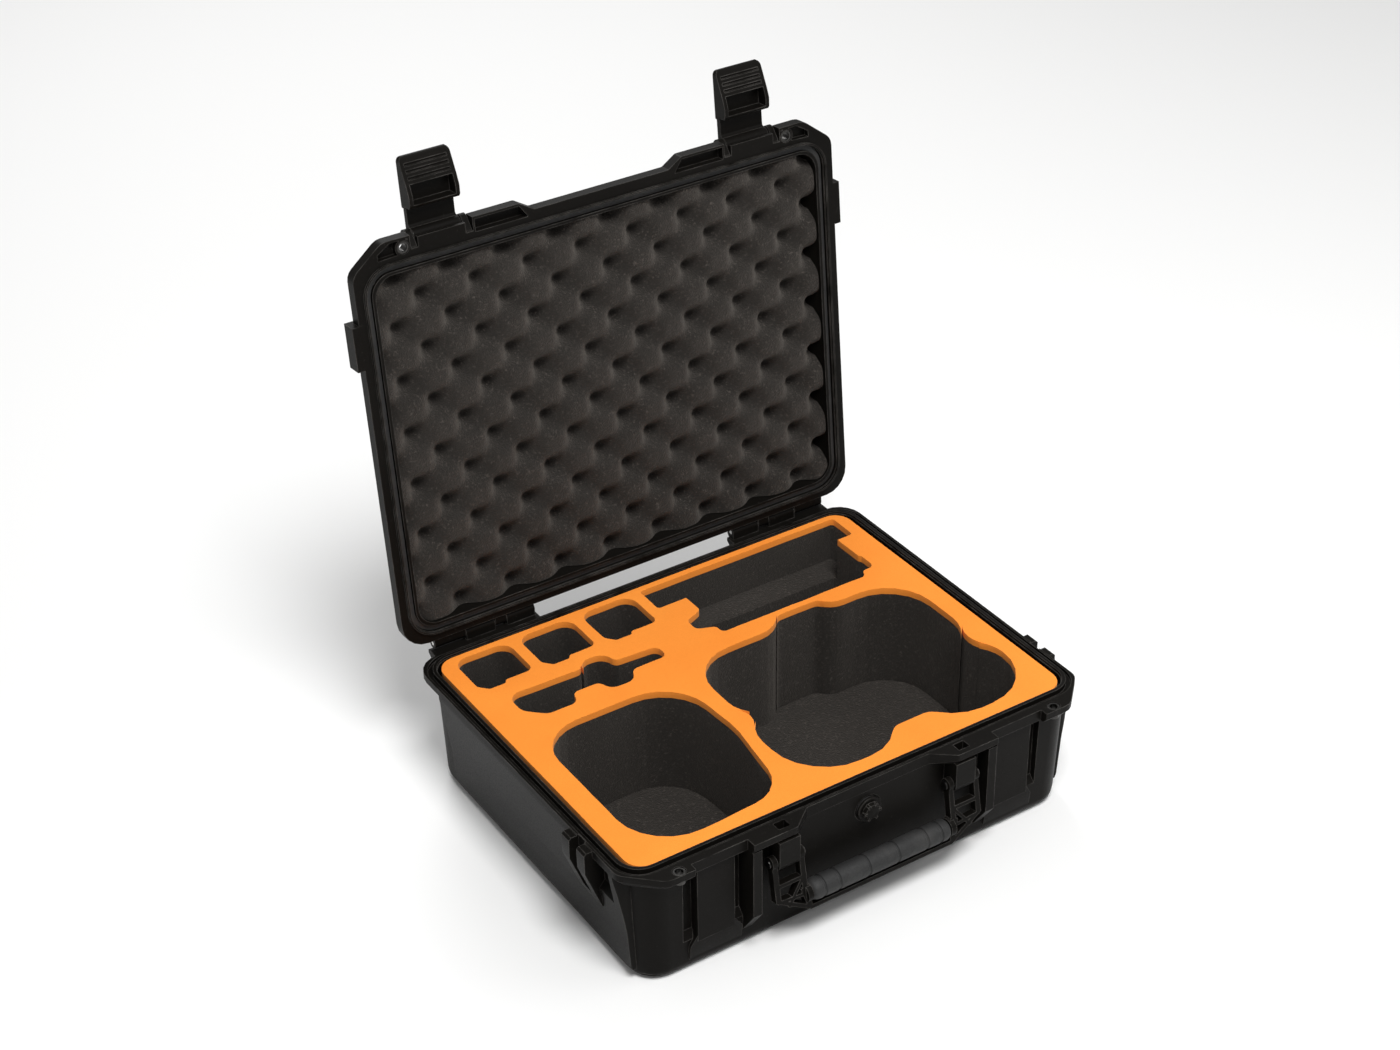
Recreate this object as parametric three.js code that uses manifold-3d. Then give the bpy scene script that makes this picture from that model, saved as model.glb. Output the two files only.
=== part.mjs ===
// Waterproof hard carrying case for a small camera drone kit, standing with its lid open.
// Frame: millimetres, +X to the right, +Y towards the hinges, +Z up, with the origin on the
// underside of the base, under the middle of the foam. The lid and the latches are modelled
// shut, and their groups turn them open about the hinge line and the latch pins.
import * as THREE from "three";
import { mergeVertices } from "three/addons/utils/BufferGeometryUtils.js";
import Module from "manifold-3d";

const wasm = await Module();
wasm.setup();

// ---- Driving dimensions -------------------------------------------------------------------
const GAP = 0.3; // kept between pieces that touch
const FIT = 0.4; // wider gap, where a piece turns beside another
const OPEN_ANGLE = 95.5; // how far the lid stands open, in degrees
const LATCH_SWING = 90; // a latch turns this far from fastened to open, in degrees

const RIM = 111; // height of the plane where base and lid meet
const WALL = 3.2; // thickness of the moulded walls
const BAND = 10; // height of the rim band of base and lid
const EDGE_R = 10; // rounding of the lower edges

const BASE_TOP = { x: 207, y: 165.4, r: 24 }; // half width, half depth, corner radius
const BASE_BOTTOM = { x: 205, y: 163.5, r: 26 };
const RIM_PLAN = { x: 217.8, y: 165.4, r: 22 };
const CAVITY_TOP = { x: 203.6, y: 161.8, r: 17 };
const CAVITY_BOTTOM = { x: 201.8, y: 160, r: 17 };
const MOUTH = { x: 207.4, y: 156.4, r: 18 };
const RIDGE = [{ x: 208.4, y: 156.6, r: 18.5 }, { x: 211.6, y: 159.6, r: 21.5 }];
const RIDGE_HEIGHT = 2;
const GROOVE = { x: 215.6, y: 163.6, r: 24.5 }; // outside of the channel round the ridge
const GROOVE_DEPTH = 3;
const LEDGE = 8; // the mouth is this deep

const FOAM = { x: 204, y: 155, r: 16 };
const SHEET = 6; // thickness of the coloured top sheet
const PAD = 10; // thickness of the foam under the block

const LID_X = 222; // half width of the lid's rim band
const LID_BACK = 169.5;
const LID_FRONT = 173;
const LID_DEPTH = 34; // from the rim plane to the lid's top
const LID_WALL = { x: 209, y: 161, r: 24 };
const LID_CREST = { x: 198.5, y: 150.5, r: 16 };
const LID_INSIDE = { x: 205, y: 153.4, r: 17 };
const CHANNEL = [{ x: 207.9, y: 156, r: 18 }, { x: 212.1, y: 160.8, r: 22 }];
const CHANNEL_DEPTH = 3.6; // the gasket lies at the bottom of this channel
const GASKET = 1; // thickness of the gasket strip
const LIP = [{ x: 213.2, y: 161.6, r: 23 }, { x: 214.8, y: 163, r: 24 }];
const LIP_DEPTH = 2; // the lip reaches this far into the base's channel

const HINGE_Y = 174.5;
const HINGE_Z = RIM + 6;
const HINGE_R = 4.6; // outer radius of a knuckle
const HINGE_PIN_R = 2;
const KNUCKLES = [100, 127, 138, 165.5, 195]; // ends of the knuckles, out from the middle

const PIN_CLEARANCE = 0.3;
const LATCH_X = 143.5; // middle of a latch, out from the middle of the case
const LATCH_Y = -175.5;
const LATCH_Z = RIM + 12;
const LATCH_PIN_R = 2.2;
const LATCH_WIDTH = 43.5;
const STRAP_WIDTH = 41;
const STRAP = [-7.6, -3.2]; // outer and inner face of the strap, from the pin

const PIVOT_X = 83.5; // middle of a handle lug
const PIVOT_Y = -174;
const PIVOT_Z = RIM - 30;
const PIVOT_PIN_R = 2.5;
const LUG_WIDTH = 19;
const FORK_GAP = 0.5; // between a lug and each arm of the fork
const ARM = 4.6; // width of an arm
const HANDLE_TILT = 10.7; // the folded handle stands out by this angle, in degrees
const HANDLE_DROP = 37.7; // from the pivot to the middle of the grip
const GRIP_R = 9;
const GRIP_HALF = 66;
const SPINE_R = 5; // the round core of the grip

const PADLOCK = { x: 177, y: -172.5, r: 5.3, shackle: 3.3 };
const VALVE_Z = RIM - 27;
const SEAT_Y = -164; // bottom of the recess the valve sits in
const BUSH_R = 7; // the part of the valve that runs through the wall

// ---- Materials ----------------------------------------------------------------------------
function material(color, roughness, metalness = 0) {
  return new THREE.MeshStandardMaterial({ color, roughness, metalness });
}
const plastic = material(0x2b2a29, 0.55);
const rubber = material(0x1c1c1c, 0.8);
const steel = material(0xb4b4b0, 0.3, 1);
const darkSteel = material(0x3a3938, 0.45, 1);
const darkFoam = material(0x2c2926, 0.95);
const orangeFoam = material(0xf2902c, 0.9);

// ---- Solids -------------------------------------------------------------------------------
// A closed mesh as a manifold-3d solid, whichever way its faces were wound.
function solid(geometry) {
  const bare = geometry.index ? geometry.toNonIndexed() : geometry.clone();
  bare.deleteAttribute("normal");
  bare.deleteAttribute("uv");
  const merged = mergeVertices(bare, 1e-4);
  const vertProperties = merged.attributes.position.array;
  const corners = merged.index.array;
  const kept = [];
  for (let i = 0; i < corners.length; i += 3) {
    const [a, b, c] = corners.slice(i, i + 3);
    if (a !== b && b !== c && c !== a) kept.push(a, b, c);
  }
  const triVerts = new Uint32Array(kept);
  const made = new wasm.Manifold(new wasm.Mesh({ numProp: 3, vertProperties, triVerts }));
  if (made.volume() > 0) return made;
  for (let i = 0; i < triVerts.length; i += 3) {
    [triVerts[i + 1], triVerts[i + 2]] = [triVerts[i + 2], triVerts[i + 1]];
  }
  return new wasm.Manifold(new wasm.Mesh({ numProp: 3, vertProperties, triVerts }));
}

function geometryOf(made) {
  const mesh = made.getMesh();
  const geometry = new THREE.BufferGeometry();
  geometry.setAttribute("position", new THREE.BufferAttribute(mesh.vertProperties, 3));
  geometry.setIndex(new THREE.BufferAttribute(mesh.triVerts, 1));
  geometry.computeVertexNormals();
  return geometry;
}

const union = (...parts) => parts.reduce((whole, part) => whole.add(part));
const cut = (whole, ...tools) => tools.reduce((left, tool) => left.subtract(tool), whole);

function box(x0, x1, y0, y1, z0, z1) {
  const geometry = new THREE.BoxGeometry(x1 - x0, y1 - y0, z1 - z0);
  return solid(geometry.translate((x0 + x1) / 2, (y0 + y1) / 2, (z0 + z1) / 2));
}

// An outline of [a, b] points pulled along an axis: (y, z) for "x", (x, z) for "y", (x, y) for "z".
function prism(outline, axis, from, to) {
  const shape = new THREE.Shape(outline.map(([a, b]) => new THREE.Vector2(a, b)));
  const geometry = new THREE.ExtrudeGeometry(shape, { depth: to - from, bevelEnabled: false });
  geometry.translate(0, 0, from);
  const order = { x: [2, 0, 1], y: [0, 2, 1], z: [0, 1, 2] }[axis];
  const at = geometry.attributes.position;
  for (let i = 0; i < at.count; i++) {
    const point = [at.getX(i), at.getY(i), at.getZ(i)];
    at.setXYZ(i, point[order[0]], point[order[1]], point[order[2]]);
  }
  return solid(geometry);
}

// A round bar along X, Y or Z; a and b are its centre in the other two directions.
function bar(axis, a, b, radius, from, to, sides = 24) {
  const outline = [];
  for (let i = 0; i < sides; i++) {
    const turn = (2 * Math.PI * i) / sides;
    outline.push([a + radius * Math.cos(turn), b + radius * Math.sin(turn)]);
  }
  return prism(outline, axis, from, to);
}

// A closed outline from [x, y, radius] corners, each rounded by its radius.
function rounded(corners, steps = 4) {
  const points = [];
  corners.forEach(([x, y, radius = 0], i) => {
    const before = corners[(i + corners.length - 1) % corners.length];
    const after = corners[(i + 1) % corners.length];
    const here = new THREE.Vector2(x, y);
    const back = new THREE.Vector2(before[0], before[1]).sub(here).normalize();
    const on = new THREE.Vector2(after[0], after[1]).sub(here).normalize();
    const half = Math.acos(THREE.MathUtils.clamp(back.dot(on), -1, 1)) / 2;
    if (!radius || half > 1.55) {
      points.push([x, y]);
      return;
    }
    const reach = radius / Math.tan(half);
    const middle = back.clone().add(on).normalize().multiplyScalar(radius / Math.sin(half)).add(here);
    const start = here.clone().addScaledVector(back, reach).sub(middle);
    const end = here.clone().addScaledVector(on, reach).sub(middle);
    let sweep = end.angle() - start.angle();
    if (sweep > Math.PI) sweep -= 2 * Math.PI;
    if (sweep < -Math.PI) sweep += 2 * Math.PI;
    const count = Math.max(1, Math.round((steps * Math.abs(sweep)) / (Math.PI / 2)));
    for (let k = 0; k <= count; k++) {
      const turn = start.angle() + (sweep * k) / count;
      points.push([middle.x + radius * Math.cos(turn), middle.y + radius * Math.sin(turn)]);
    }
  });
  return points;
}

function plate({ x, y, r }, steps = 8) {
  return rounded([[x, -y, r], [x, y, r], [-x, y, r], [-x, -y, r]], steps);
}

function grown(plan, by) {
  return { x: plan.x + by, y: plan.y + by, r: Math.max(1, plan.r + by) };
}

// A solid through plan outlines at rising heights; all outlines have the same number of points.
function loft(levels) {
  const count = levels[0].outline.length;
  const position = [];
  const index = [];
  for (const { outline, z } of levels) {
    for (const [x, y] of outline) position.push(x, y, z);
  }
  for (let level = 0; level + 1 < levels.length; level++) {
    for (let i = 0; i < count; i++) {
      const a = level * count + i;
      const b = level * count + ((i + 1) % count);
      index.push(a, b, b + count, a, b + count, a + count);
    }
  }
  const last = (levels.length - 1) * count;
  for (let i = 1; i + 1 < count; i++) {
    index.push(0, i + 1, i);
    index.push(last, last + i, last + i + 1);
  }
  const geometry = new THREE.BufferGeometry();
  geometry.setAttribute("position", new THREE.Float32BufferAttribute(position, 3));
  geometry.setIndex(index);
  return solid(geometry);
}

function ring(outer, inner, z0, z1) {
  return cut(prism(plate(outer), "z", z0, z1), prism(plate(inner), "z", z0 - 1, z1 + 1));
}

// A turned piece about Y: its profile is [radius, y] points, closed on itself.
function turnedAboutY(profile, x, z, sides = 28) {
  const closed = [...profile, profile[0]].map(([radius, y]) => new THREE.Vector2(radius, y));
  return solid(new THREE.LatheGeometry(closed, sides).translate(x, 0, z));
}

// An outline given by its right half, from the front to the back, as [x, y, radius] corners.
function bothHalves(right, steps = 5) {
  const left = right.map(([x, y, radius]) => [-x, y, radius]).reverse();
  return rounded([...left, ...right], steps);
}

const mirrored = (outline) => outline.map(([x, y]) => [-x, y]).reverse();
const bothSides = (make) => [-1, 1].map((side) => make(side));
const span = (side, near, far) => (side > 0 ? [near, far] : [-far, -near]);

const object = new THREE.Group();
function add(name, made, finish, group = object) {
  const mesh = new THREE.Mesh(geometryOf(made), finish);
  mesh.name = name;
  group.add(mesh);
  return mesh;
}

// ---- Base shell ---------------------------------------------------------------------------
const FACE = -RIM_PLAN.y; // front of the rim band between the handle bosses
const BOSS_FRONT = -180;
const HOOK_FRONT = -171; // rim band where the latches hook under it
const CORNER_FRONT = -178;
const PILASTER = -167.5; // front of the pillar behind each latch
const POCKET_FLOOR = -158.5; // floor of the recesses beside each pillar
const POCKET_DROP = 82; // the recesses end this far below the rim plane
const BOSS_END = 115.5; // the band steps back here to make room for the latch
const RECESSES = [[BOSS_END, 125], [158.5, 169.5]];
const EARS = { from: -117, to: -84, slot: [-106, -95], x: 225 };

// The band's underside slopes out from the walls, except where the latches hook under it.
function rimBand() {
  const outline = (inset) =>
    bothHalves([
      [58, FACE, 4],
      [76, BOSS_FRONT + inset, 3],
      [BOSS_END, BOSS_FRONT + inset, 1],
      [BOSS_END, HOOK_FRONT],
      [165.5, HOOK_FRONT],
      [165.5, CORNER_FRONT + inset, 1],
      [190, CORNER_FRONT + inset, 12],
      [RIM_PLAN.x - inset, -151, 12],
      [RIM_PLAN.x - inset, RIM_PLAN.y, RIM_PLAN.r],
    ]);
  return loft([
    { outline: outline(3.5), z: RIM - BAND },
    { outline: outline(0), z: RIM - BAND + 4 },
    { outline: outline(0), z: RIM },
  ]);
}

function baseBody() {
  const levels = [];
  const STEPS = 4;
  for (let i = 0; i <= STEPS; i++) {
    const turn = (Math.PI / 2) * (i / STEPS);
    const inset = EDGE_R * (1 - Math.sin(turn));
    levels.push({ outline: plate(grown(BASE_BOTTOM, -inset)), z: EDGE_R * (1 - Math.cos(turn)) });
  }
  levels.push({ outline: plate(BASE_TOP), z: RIM - 1 });
  return loft(levels);
}

// The raised panel of each side wall runs out to the rim band and fades into the lower edge.
function sidePanel(side) {
  const profile = [
    [200, EDGE_R],
    [BASE_BOTTOM.x + 0.5, EDGE_R],
    [BASE_BOTTOM.x + 2, EDGE_R + 4],
    [209.4, RIM - 62],
    [RIM_PLAN.x - 0.6, RIM - BAND],
    [RIM_PLAN.x - 0.6, RIM - 1],
    [206, RIM - 1],
    [206, RIM - LEDGE - 8],
    [200, RIM - LEDGE - 12],
  ];
  const panel = prism(side > 0 ? profile : mirrored(profile), "y", -149, 124);
  const rounding = bothHalves([[RIM_PLAN.x, -149, 9], [RIM_PLAN.x, 130]], 4);
  return panel.intersect(prism(rounding, "z", 0, RIM));
}

function strapEars(side) {
  const profile = [
    [205.5, RIM - 1],
    [EARS.x - 2, RIM - 1],
    [EARS.x, RIM - 3],
    [EARS.x, RIM - 20],
    [211, RIM - 58],
    [205.5, RIM - 58],
  ];
  return prism(side > 0 ? profile : mirrored(profile), "y", EARS.from, EARS.to);
}

function sidePockets(side) {
  const slot = box(...span(side, BASE_TOP.x + 0.5, 240), ...EARS.slot, RIM - 50, RIM - BAND);
  const notch = box(...span(side, 216.4, 240), ...EARS.slot, RIM - BAND - 1, RIM + 1);
  const recess = [
    [BASE_TOP.x + 1, RIM - BAND + 2],
    [BASE_TOP.x + 1, RIM - 32],
    [BASE_TOP.x + 7, RIM - 40],
    [240, RIM - 40],
    [240, RIM - BAND + 2],
  ];
  return [slot, notch, prism(side > 0 ? recess : mirrored(recess), "y", -138, EARS.from)];
}

// The pillar behind a latch widens below the recesses into a panel that runs to the lower edge.
function latchPillar(side) {
  const upper = [
    [-160.5, RIM - BAND + 1],
    [PILASTER, RIM - BAND + 1],
    [PILASTER, RIM - POCKET_DROP],
    [-160.5, RIM - POCKET_DROP],
  ];
  const [[near, inner], [outer, far]] = RECESSES;
  const foot = [
    [near + 2, EDGE_R],
    [far - 5, EDGE_R],
    [far - 5, RIM - POCKET_DROP - 4],
    [outer, RIM - POCKET_DROP + 6],
    [inner, RIM - POCKET_DROP + 6],
    [near + 2, RIM - POCKET_DROP - 4],
  ];
  const lower = [
    [-158.2, EDGE_R],
    [-163.4, EDGE_R],
    [-165.2, EDGE_R + 4],
    [PILASTER, RIM - POCKET_DROP + 6],
    [-158.2, RIM - POCKET_DROP + 6],
  ];
  const panel = prism(lower, "x", ...span(side, near, far));
  const shape = prism(side > 0 ? foot : mirrored(foot), "y", -200, -150);
  return union(prism(upper, "x", ...span(side, inner, outer)), panel.intersect(shape));
}

// The front wall is set back on both sides of the pillar behind a latch.
function latchPockets(side) {
  const profile = [
    [POCKET_FLOOR, RIM - BAND],
    [POCKET_FLOOR, RIM - POCKET_DROP + 8],
    [-165.5, RIM - POCKET_DROP],
    [-190, RIM - POCKET_DROP],
    [-190, RIM - BAND],
  ];
  return RECESSES.map((reach) => prism(profile, "x", ...span(side, ...reach)));
}

function handleRib(side) {
  const profile = [
    [-162.2, RIM - BAND + 1],
    [BOSS_FRONT + 1.5, RIM - BAND + 1],
    [BOSS_FRONT + 1.5, RIM - 72],
    [-165, RIM - 92],
    [-162.2, RIM - 96],
  ];
  return prism(profile, "x", ...span(side, BOSS_END - 8, BOSS_END));
}

function handleLug(side) {
  const profile = rounded([
    [-162.2, RIM - BAND + 1],
    [BOSS_FRONT - 0.5, RIM - BAND + 1],
    [BOSS_FRONT - 0.5, RIM - 37.5, 6.5],
    [-170.5, RIM - 37.5, 5],
    [-162.2, RIM - 50],
  ]);
  const x = [PIVOT_X - LUG_WIDTH / 2, PIVOT_X + LUG_WIDTH / 2];
  return prism(profile, "x", ...span(side, ...x));
}

function baseKnuckles(side) {
  return [0, 2].map((i) => {
    const reach = span(side, KNUCKLES[i] + FIT / 2, KNUCKLES[i + 1] - FIT / 2);
    const arm = [
      [RIM_PLAN.y - 1, RIM - BAND],
      [RIM_PLAN.y + 4.6, RIM - BAND],
      [HINGE_Y + HINGE_R, HINGE_Z - 3],
      [HINGE_Y + HINGE_R, HINGE_Z],
      [HINGE_Y - HINGE_R, HINGE_Z],
      [HINGE_Y - HINGE_R, RIM - 1],
      [RIM_PLAN.y - 1, RIM - 1],
    ];
    return union(prism(arm, "x", ...reach), bar("x", HINGE_Y, HINGE_Z, HINGE_R, ...reach));
  });
}

// The rail behind the rim that carries the knuckles.
function hingeRail(side) {
  const profile = [
    [RIM_PLAN.y - 1, RIM - BAND],
    [RIM_PLAN.y + 3, RIM - BAND],
    [HINGE_Y + 2, RIM - 3],
    [HINGE_Y + 2, RIM],
    [RIM_PLAN.y - 1, RIM],
  ];
  return prism(profile, "x", ...span(side, 98, 198));
}

function baseShell() {
  const solids = [
    prism(plate(RIDGE[1]), "z", RIM - 1, RIM + RIDGE_HEIGHT),
    ...bothSides(latchPillar),
    ...bothSides(strapEars),
    ...bothSides(handleRib),
    ...bothSides(handleLug),
    ...bothSides(baseKnuckles).flat(),
    ...bothSides(hingeRail),
  ];
  const behindLatches = bothSides((side) => box(...span(side, 113, 176), -170, -155.4, 0, RIM - LEDGE));
  const inside = loft([
    { outline: plate(CAVITY_BOTTOM), z: WALL },
    { outline: plate(CAVITY_TOP), z: RIM - LEDGE },
  ]);
  const overRidge = cut(
    prism(plate(RIDGE[0]), "z", RIM, RIM + 5),
    prism(plate(MOUTH), "z", RIM - 1, RIM + 6),
  );
  const hinge = bar("x", HINGE_Y, HINGE_Z, HINGE_PIN_R + PIN_CLEARANCE, -200, 200, 16);
  const pivot = bar("x", PIVOT_Y, PIVOT_Z, PIVOT_PIN_R + PIN_CLEARANCE, -103, 103, 20);
  const socket = (side) => box(...span(side, 80, 90), -175, -167, RIM - 8, RIM + 1);
  const padlock = (side) => bar("z", side * PADLOCK.x, PADLOCK.y, PADLOCK.r, RIM - BAND - 1, RIM + 1);
  const withPockets = cut(
    union(baseBody(), rimBand(), ...bothSides(sidePanel)),
    ...bothSides(latchPockets).flat(),
  );
  return cut(
    union(withPockets, ...solids),
    cut(inside, ...behindLatches),
    prism(plate(MOUTH), "z", RIM - LEDGE - 0.01, RIM + 10),
    overRidge,
    ring(GROOVE, RIDGE[1], RIM - GROOVE_DEPTH, RIM + 5),
    ...bothSides(sidePockets).flat(),
    ...bothSides(socket),
    ...bothSides(padlock),
    hinge,
    pivot,
    bar("y", 0, VALVE_Z, 12, -180, SEAT_Y),
    bar("y", 0, VALVE_Z, BUSH_R + GAP, -170, -150),
  );
}

// ---- Foam inserts -------------------------------------------------------------------------
// Cut-outs as [x, y, radius] corners, and how far each goes down from the rim plane.
const GOGGLES = [[-184, 26, 38], [-53, 26, 44], [-47, -52, 60], [-60, -138, 34], [-184, -145, 46]];
const CONTROLLER = [
  [-176, 84, 11], [-106, 82, 6], [-105, 92, 11], [-82, 90, 11], [-79, 76, 6], [-40, 74, 7],
  [-40, 58, 6], [-74, 58, 8], [-79, 45, 10], [-102, 45, 10], [-105, 58, 6], [-130, 58, 6],
  [-133, 45, 8], [-160, 45, 10], [-176, 60, 12],
];
const DRONE = [
  [-34, 40, 42], [58, 40, 30], [66, 54, 8], [108, 54, 8], [114, 42, 20], [186, 44, 44],
  [186, -44, 34], [172, -60, 24], [190, -80, 30], [190, -142, 50], [108, -142, 44],
  [92, -122, 12], [56, -122, 12], [40, -142, 44], [-40, -142, 50], [-40, -66, 34],
  [-22, -48, 20], [-34, -34, 30],
];
const TUBE = [[-10, 119, 3], [10, 119, 3], [18, 119, 3], [192, 119, 3], [192, 149, 3], [-10, 149, 3]];
const HUBS = [
  [16, 60, 5], [162, 60, 5], [166, 68, 4], [178, 68, 6], [178, 86, 4], [176, 88, 4], [176, 122, 1],
  [18, 122, 1], [18, 98, 4], [0, 90, 6], [0, 76, 6], [16, 70, 4],
];
const POCKETS = [
  { name: "goggles", outline: GOGGLES, depth: 100 },
  { name: "controller", outline: CONTROLLER, depth: 46 },
  { name: "drone", outline: DRONE, depth: 100 },
  { name: "tube", outline: TUBE, depth: 42 },
  { name: "hubs", outline: HUBS, depth: 66 },
  ...[-165, -105, -45].map((x, i) => ({
    name: "battery_" + (i + 1),
    outline: [
      [x - 25, 149, 12], [x + 25, 149, 12], [x + 25, 104, 6], [x - 1, 104, 3], [x - 3, 100, 3],
      [x - 18, 100, 3], [x - 25, 108, 6],
    ],
    depth: 60,
  })),
];
const BLOCK_BOTTOM = WALL + GAP + PAD + GAP;
const SHEET_BOTTOM = RIM - SHEET;

const pocketCut = ({ outline, depth }) => prism(rounded(outline, 6), "z", RIM - depth, RIM + 20);

function foamPad() {
  const plan = { x: CAVITY_BOTTOM.x - 0.8, y: 154.4, r: FOAM.r };
  return prism(plate(plan, 5), "z", WALL + GAP, WALL + GAP + PAD);
}

function foamBlock() {
  const levels = [
    { outline: plate({ x: CAVITY_BOTTOM.x - 0.8, y: 154.4, r: FOAM.r }, 5), z: BLOCK_BOTTOM },
    { outline: plate({ x: CAVITY_TOP.x - 0.8, y: 154.4, r: FOAM.r }, 5), z: SHEET_BOTTOM - GAP },
  ];
  return cut(loft(levels), ...POCKETS.map(pocketCut));
}

function foamSheet() {
  const whole = prism(plate(FOAM, 5), "z", SHEET_BOTTOM, RIM);
  return cut(whole, ...POCKETS.map(pocketCut));
}

// ---- Pressure valve in the front wall -----------------------------------------------------

function valve() {
  const bore = 3.6;
  const front = SEAT_Y - 1.3 - GAP; // face of the collar's flange on the seal
  const seal = [
    [BUSH_R + 0.6, SEAT_Y - GAP],
    [10.4, SEAT_Y - GAP],
    [10.4, SEAT_Y - 1.3],
    [BUSH_R + 0.6, SEAT_Y - 1.3],
  ];
  const collar = [
    [bore, front - 2.6],
    [10.4, front - 2.6],
    [11, front - 2],
    [11, front],
    [BUSH_R, front],
    [BUSH_R, -156.4],
    [bore, -156.4],
  ];
  const face = front - 2.6 - GAP;
  const knob = [
    [0, face - 4.6],
    [4.4, face - 4.4],
    [6.4, face - 3.4],
    [7.2, face - 1.8],
    [7.4, face],
    [bore - FIT, face],
    [bore - FIT, -158],
    [0, -158],
  ];
  const ribs = [0, 60, 120].map((turn) => {
    const rib = box(-8, 8, face - 4, face - 0.2, -1.1, 1.1);
    return rib.rotate([0, turn, 0]).translate([0, 0, VALVE_Z]);
  });
  add("valve_collar", turnedAboutY(collar, 0, VALVE_Z), plastic);
  add("valve_seal", turnedAboutY(seal, 0, VALVE_Z), rubber);
  const nut = bar("y", 0, VALVE_Z, 11.5, -160.9, -157.6, 6);
  add("valve_nut", cut(nut, bar("y", 0, VALVE_Z, BUSH_R + GAP, -165, -150)), plastic);
  add("valve_knob", union(turnedAboutY(knob, 0, VALVE_Z), ...ribs), plastic);
}

// ---- Handle -------------------------------------------------------------------------------
// Modelled about its pivot line, hanging straight down, then tilted to rest off the front wall.
const ARMS = [
  [PIVOT_X - LUG_WIDTH / 2 - FORK_GAP - ARM, PIVOT_X - LUG_WIDTH / 2 - FORK_GAP],
  [PIVOT_X + LUG_WIDTH / 2 + FORK_GAP, PIVOT_X + LUG_WIDTH / 2 + FORK_GAP + ARM],
];
const FRAME_HALF = 3.5; // half thickness of the moulded frame
const FRAME_FOOT = -HANDLE_DROP - 14; // bottom edge of the frame

// A straight member of the frame between two (x, z) points, `width` wide.
function member([x0, z0], [x1, z1], width) {
  const run = Math.hypot(x1 - x0, z1 - z0);
  const [u, v] = [((x1 - x0) * width) / (2 * run), ((z1 - z0) * width) / (2 * run)];
  const outline = [
    [x0 - v - u, z0 + u - v],
    [x0 + v - u, z0 - u - v],
    [x1 + v + u, z1 - u + v],
    [x1 - v + u, z1 + u + v],
  ];
  return prism(outline, "y", -FRAME_HALF, FRAME_HALF);
}

function handleFrame() {
  const [[inner, near], [far, outer]] = ARMS;
  const crossBar = -21;
  const corner = -33; // where the outer arm ends
  const upright = (side, x0, x1, foot) => box(...span(side, x0, x1), -FRAME_HALF, FRAME_HALF, foot, 0);
  const arm = (side) => [
    upright(side, inner, near, corner - 3),
    upright(side, far, outer, corner),
    member([side * (inner + 2), crossBar], [side * (outer - 2), crossBar], 3.2),
    member([side * (near - 1), crossBar - 1], [side * (far - 7), -40.6], 2.8),
    member([side * (near - 2), -36.5], [side * (outer - 3), corner - 1.6], 2.8),
    member([side * (outer - 1.7), corner - 0.4], [side * 68, FRAME_FOOT + 2], 3.4),
    member([side * (near - 3), -34], [side * 69, -HANDLE_DROP - 2], 8),
    member([side * 69, -HANDLE_DROP], [side * 69, FRAME_FOOT + 4], 5),
  ];
  const eye = ([from, to]) => bothSides((side) => bar("x", 0, 0, 5.4, ...span(side, from, to)));
  const knob = (side) => bar("x", 0, -HANDLE_DROP, 7.6, ...span(side, GRIP_HALF, GRIP_HALF + 5));
  const spine = bar("x", 0, -HANDLE_DROP, SPINE_R, -GRIP_HALF - 2, GRIP_HALF + 2, 20);
  const sleeveRoom = cut(
    bar("x", 0, -HANDLE_DROP, GRIP_R + GAP, -GRIP_HALF - GAP, GRIP_HALF + GAP),
    bar("x", 0, -HANDLE_DROP, SPINE_R, -GRIP_HALF - 2, GRIP_HALF + 2, 20),
  );
  const rib = box(-68, 68, -FRAME_HALF, FRAME_HALF, FRAME_FOOT, FRAME_FOOT + 3.4);
  return cut(
    union(
      rib,
      spine,
      ...bothSides(arm).flat(),
      ...bothSides(knob),
      ...ARMS.map(eye).flat(),
    ),
    sleeveRoom,
    bar("x", 0, 0, PIVOT_PIN_R + PIN_CLEARANCE, -150, 150, 20),
  );
}

function handleGrip() {
  const bore = SPINE_R + GAP;
  const end = [
    [GRIP_HALF - 4, GRIP_R],
    [GRIP_HALF - 1.4, GRIP_R - 1.2],
    [GRIP_HALF, GRIP_R - 3],
    [GRIP_HALF, bore],
  ];
  const profile = end.map(([x, radius]) => [-x, radius]).reverse();
  for (const x of [-56, -42, -14, 14, 42, 56]) {
    profile.push([x - 1.4, GRIP_R], [x - 0.8, GRIP_R - 0.9]);
    profile.push([x + 0.8, GRIP_R - 0.9], [x + 1.4, GRIP_R]);
  }
  profile.push(...end);
  const closed = [...profile, profile[0]].map(([x, radius]) => new THREE.Vector2(radius, x));
  const lathe = new THREE.LatheGeometry(closed, 20).rotateZ(-Math.PI / 2);
  return solid(lathe.translate(0, 0, -HANDLE_DROP));
}

// A headed pin along X, centred on x, with its heads past both ends of the stack it holds.
function pin(y, z, radius, from, to, head, headRadius, sides = 20) {
  return union(
    bar("x", y, z, radius, from - 0.01, to + 0.01, sides),
    bar("x", y, z, headRadius, from - head, from, sides),
    bar("x", y, z, headRadius, to, to + head, sides),
  );
}

// ---- Lid ----------------------------------------------------------------------------------
const LID_RIM = RIM + FIT;
const LID_BOSS = -181; // front of the band where the latches are mounted
const LID_TOP = LID_RIM + LID_DEPTH;
const LATCH_EARS = [[-26.5, -STRAP_WIDTH / 2 - 0.8], [STRAP_WIDTH / 2 + 0.8, 26.5]];

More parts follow.
